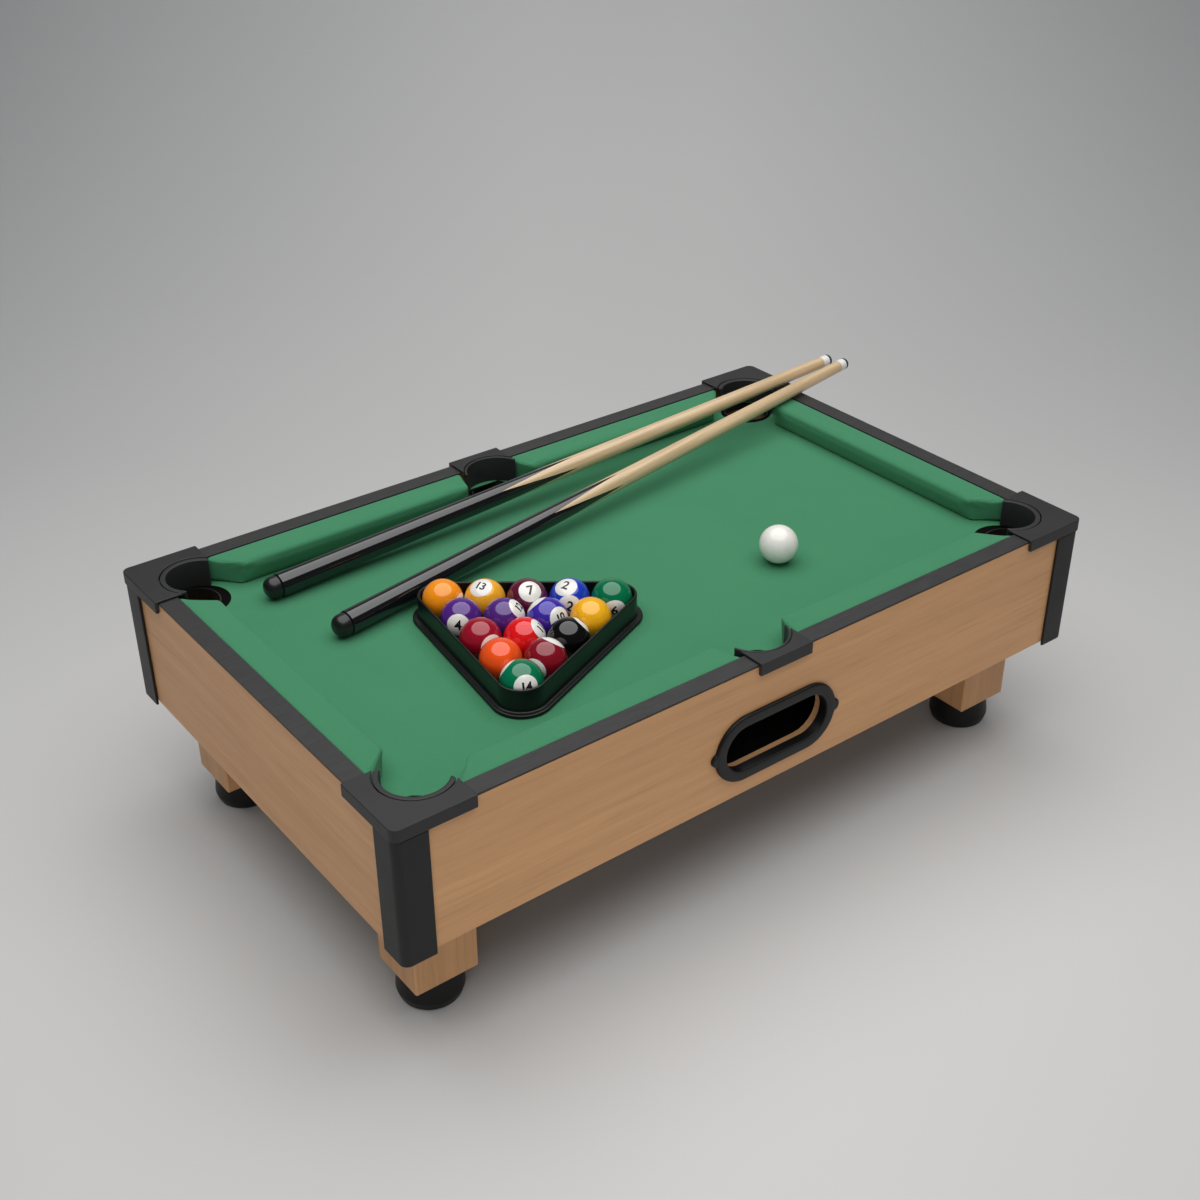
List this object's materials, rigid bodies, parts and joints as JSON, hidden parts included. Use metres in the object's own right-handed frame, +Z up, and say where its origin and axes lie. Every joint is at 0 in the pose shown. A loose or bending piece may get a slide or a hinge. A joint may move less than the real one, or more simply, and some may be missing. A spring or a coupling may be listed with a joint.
{
  "type": "mini pool table",
  "caption": "Tabletop pool table: wooden case on short legs, green cloth bed, capped pockets, front ball return, with cues, rack and balls that lift off.",
  "frame": {"origin": "on the floor under the middle of the whole model's box, cues included, so the case's own middle is at x = -0.0243 m", "axes": "+X along the table towards the cue tips, +Y from the ball return's side to the back, +Z up"},
  "size_m": [0.5588, 0.3148, 0.1713],
  "materials": {
    "panel_wood": "satin light oak laminate, grain along the panel",
    "leg_wood": "satin light oak laminate, upright grain",
    "raw_board": "plain fibreboard",
    "strip_laminate": "satin dark grey",
    "cap_plastic": "satin dark grey, finely textured",
    "trim_plastic": "satin dark grey, finely textured",
    "foot_plastic": "smooth black",
    "bezel_plastic": "semi-gloss black",
    "rack_plastic": "satin black",
    "green_felt": "short napped wool-blend cloth",
    "cue_lacquer": "gloss lacquer, black butt with four points and a pale maple shaft",
    "bumper_rubber": "satin black",
    "ferrule_white": "polished white",
    "tip_leather": "matt dark blue-black",
    "cue_ball_resin": "polished resin",
    "ball_01_resin": "polished resin with a white number disc",
    "ball_02_resin": "polished resin with a white number disc",
    "ball_03_resin": "polished resin with a white number disc",
    "ball_04_resin": "polished resin with a white number disc",
    "ball_05_resin": "polished resin with a white number disc",
    "ball_06_resin": "polished resin with a white number disc",
    "ball_07_resin": "polished resin with a white number disc",
    "ball_08_resin": "polished resin with a white number disc",
    "ball_09_resin": "polished resin with a white number disc",
    "ball_10_resin": "polished resin with a white number disc",
    "ball_11_resin": "polished resin with a white number disc",
    "ball_12_resin": "polished resin with a white number disc",
    "ball_13_resin": "polished resin with a white number disc",
    "ball_14_resin": "polished resin with a white number disc",
    "ball_15_resin": "polished resin with a white number disc"
  },
  "bodies": {
    "table": {"back_left_cap": "cap_plastic", "back_left_cushion": "green_felt", "back_left_foot": "foot_plastic", "back_left_leg": "leg_wood", "back_left_trim": "trim_plastic", "back_panel": "panel_wood", "back_right_cap": "cap_plastic", "back_right_cushion": "green_felt", "back_right_foot": "foot_plastic", "back_right_leg": "leg_wood", "back_right_trim": "trim_plastic", "back_side_cap": "cap_plastic", "ball_return_bezel": "bezel_plastic", "bed_board": "raw_board", "bed_cloth": "green_felt", "bottom_board": "raw_board", "front_left_cap": "cap_plastic", "front_left_cushion": "green_felt", "front_left_foot": "foot_plastic", "front_left_leg": "leg_wood", "front_left_trim": "trim_plastic", "front_panel": "panel_wood", "front_right_cap": "cap_plastic", "front_right_cushion": "green_felt", "front_right_foot": "foot_plastic", "front_right_leg": "leg_wood", "front_right_trim": "trim_plastic", "front_side_cap": "cap_plastic", "left_cushion": "green_felt", "left_panel": "panel_wood", "rail_strip": "strip_laminate", "return_ramp": "raw_board", "right_cushion": "green_felt", "right_panel": "panel_wood"},
    "ball_01": {"ball_01": "ball_01_resin"},
    "ball_02": {"ball_02": "ball_02_resin"},
    "ball_03": {"ball_03": "ball_03_resin"},
    "ball_04": {"ball_04": "ball_04_resin"},
    "ball_05": {"ball_05": "ball_05_resin"},
    "ball_06": {"ball_06": "ball_06_resin"},
    "ball_07": {"ball_07": "ball_07_resin"},
    "ball_08": {"ball_08": "ball_08_resin"},
    "ball_09": {"ball_09": "ball_09_resin"},
    "ball_10": {"ball_10": "ball_10_resin"},
    "ball_11": {"ball_11": "ball_11_resin"},
    "ball_12": {"ball_12": "ball_12_resin"},
    "ball_13": {"ball_13": "ball_13_resin"},
    "ball_14": {"ball_14": "ball_14_resin"},
    "ball_15": {"ball_15": "ball_15_resin"},
    "cue_ball": {"cue_ball": "cue_ball_resin"},
    "triangle_rack": {"triangle_rack": "rack_plastic"},
    "back_cue": {"back_cue_stick": "cue_lacquer", "back_cue_bumper": "bumper_rubber", "back_cue_ferrule": "ferrule_white", "back_cue_tip": "tip_leather"},
    "front_cue": {"front_cue_stick": "cue_lacquer", "front_cue_bumper": "bumper_rubber", "front_cue_ferrule": "ferrule_white", "front_cue_tip": "tip_leather"}
  },
  "joints": [
    {"name": "ball_01_lift", "type": "slide", "parent": "table", "child": "ball_01", "axis": [0, 0, 1], "range_m": [0, 0.12]},
    {"name": "ball_02_lift", "type": "slide", "parent": "table", "child": "ball_02", "axis": [0, 0, 1], "range_m": [0, 0.12]},
    {"name": "ball_03_lift", "type": "slide", "parent": "table", "child": "ball_03", "axis": [0, 0, 1], "range_m": [0, 0.12]},
    {"name": "ball_04_lift", "type": "slide", "parent": "table", "child": "ball_04", "axis": [0, 0, 1], "range_m": [0, 0.12]},
    {"name": "ball_05_lift", "type": "slide", "parent": "table", "child": "ball_05", "axis": [0, 0, 1], "range_m": [0, 0.12]},
    {"name": "ball_06_lift", "type": "slide", "parent": "table", "child": "ball_06", "axis": [0, 0, 1], "range_m": [0, 0.12]},
    {"name": "ball_07_lift", "type": "slide", "parent": "table", "child": "ball_07", "axis": [0, 0, 1], "range_m": [0, 0.12]},
    {"name": "ball_08_lift", "type": "slide", "parent": "table", "child": "ball_08", "axis": [0, 0, 1], "range_m": [0, 0.12]},
    {"name": "ball_09_lift", "type": "slide", "parent": "table", "child": "ball_09", "axis": [0, 0, 1], "range_m": [0, 0.12]},
    {"name": "ball_10_lift", "type": "slide", "parent": "table", "child": "ball_10", "axis": [0, 0, 1], "range_m": [0, 0.12]},
    {"name": "ball_11_lift", "type": "slide", "parent": "table", "child": "ball_11", "axis": [0, 0, 1], "range_m": [0, 0.12]},
    {"name": "ball_12_lift", "type": "slide", "parent": "table", "child": "ball_12", "axis": [0, 0, 1], "range_m": [0, 0.12]},
    {"name": "ball_13_lift", "type": "slide", "parent": "table", "child": "ball_13", "axis": [0, 0, 1], "range_m": [0, 0.12]},
    {"name": "ball_14_lift", "type": "slide", "parent": "table", "child": "ball_14", "axis": [0, 0, 1], "range_m": [0, 0.12]},
    {"name": "ball_15_lift", "type": "slide", "parent": "table", "child": "ball_15", "axis": [0, 0, 1], "range_m": [0, 0.12]},
    {"name": "cue_ball_lift", "type": "slide", "parent": "table", "child": "cue_ball", "axis": [0, 0, 1], "range_m": [0, 0.12]},
    {"name": "triangle_rack_lift", "type": "slide", "parent": "table", "child": "triangle_rack", "axis": [0, 0, 1], "range_m": [0, 0.12]},
    {"name": "back_cue_lift", "type": "slide", "parent": "table", "child": "back_cue", "axis": [0, 0, 1], "range_m": [0, 0.12]},
    {"name": "front_cue_lift", "type": "slide", "parent": "table", "child": "front_cue", "axis": [0, 0, 1], "range_m": [0, 0.12]}
  ]
}
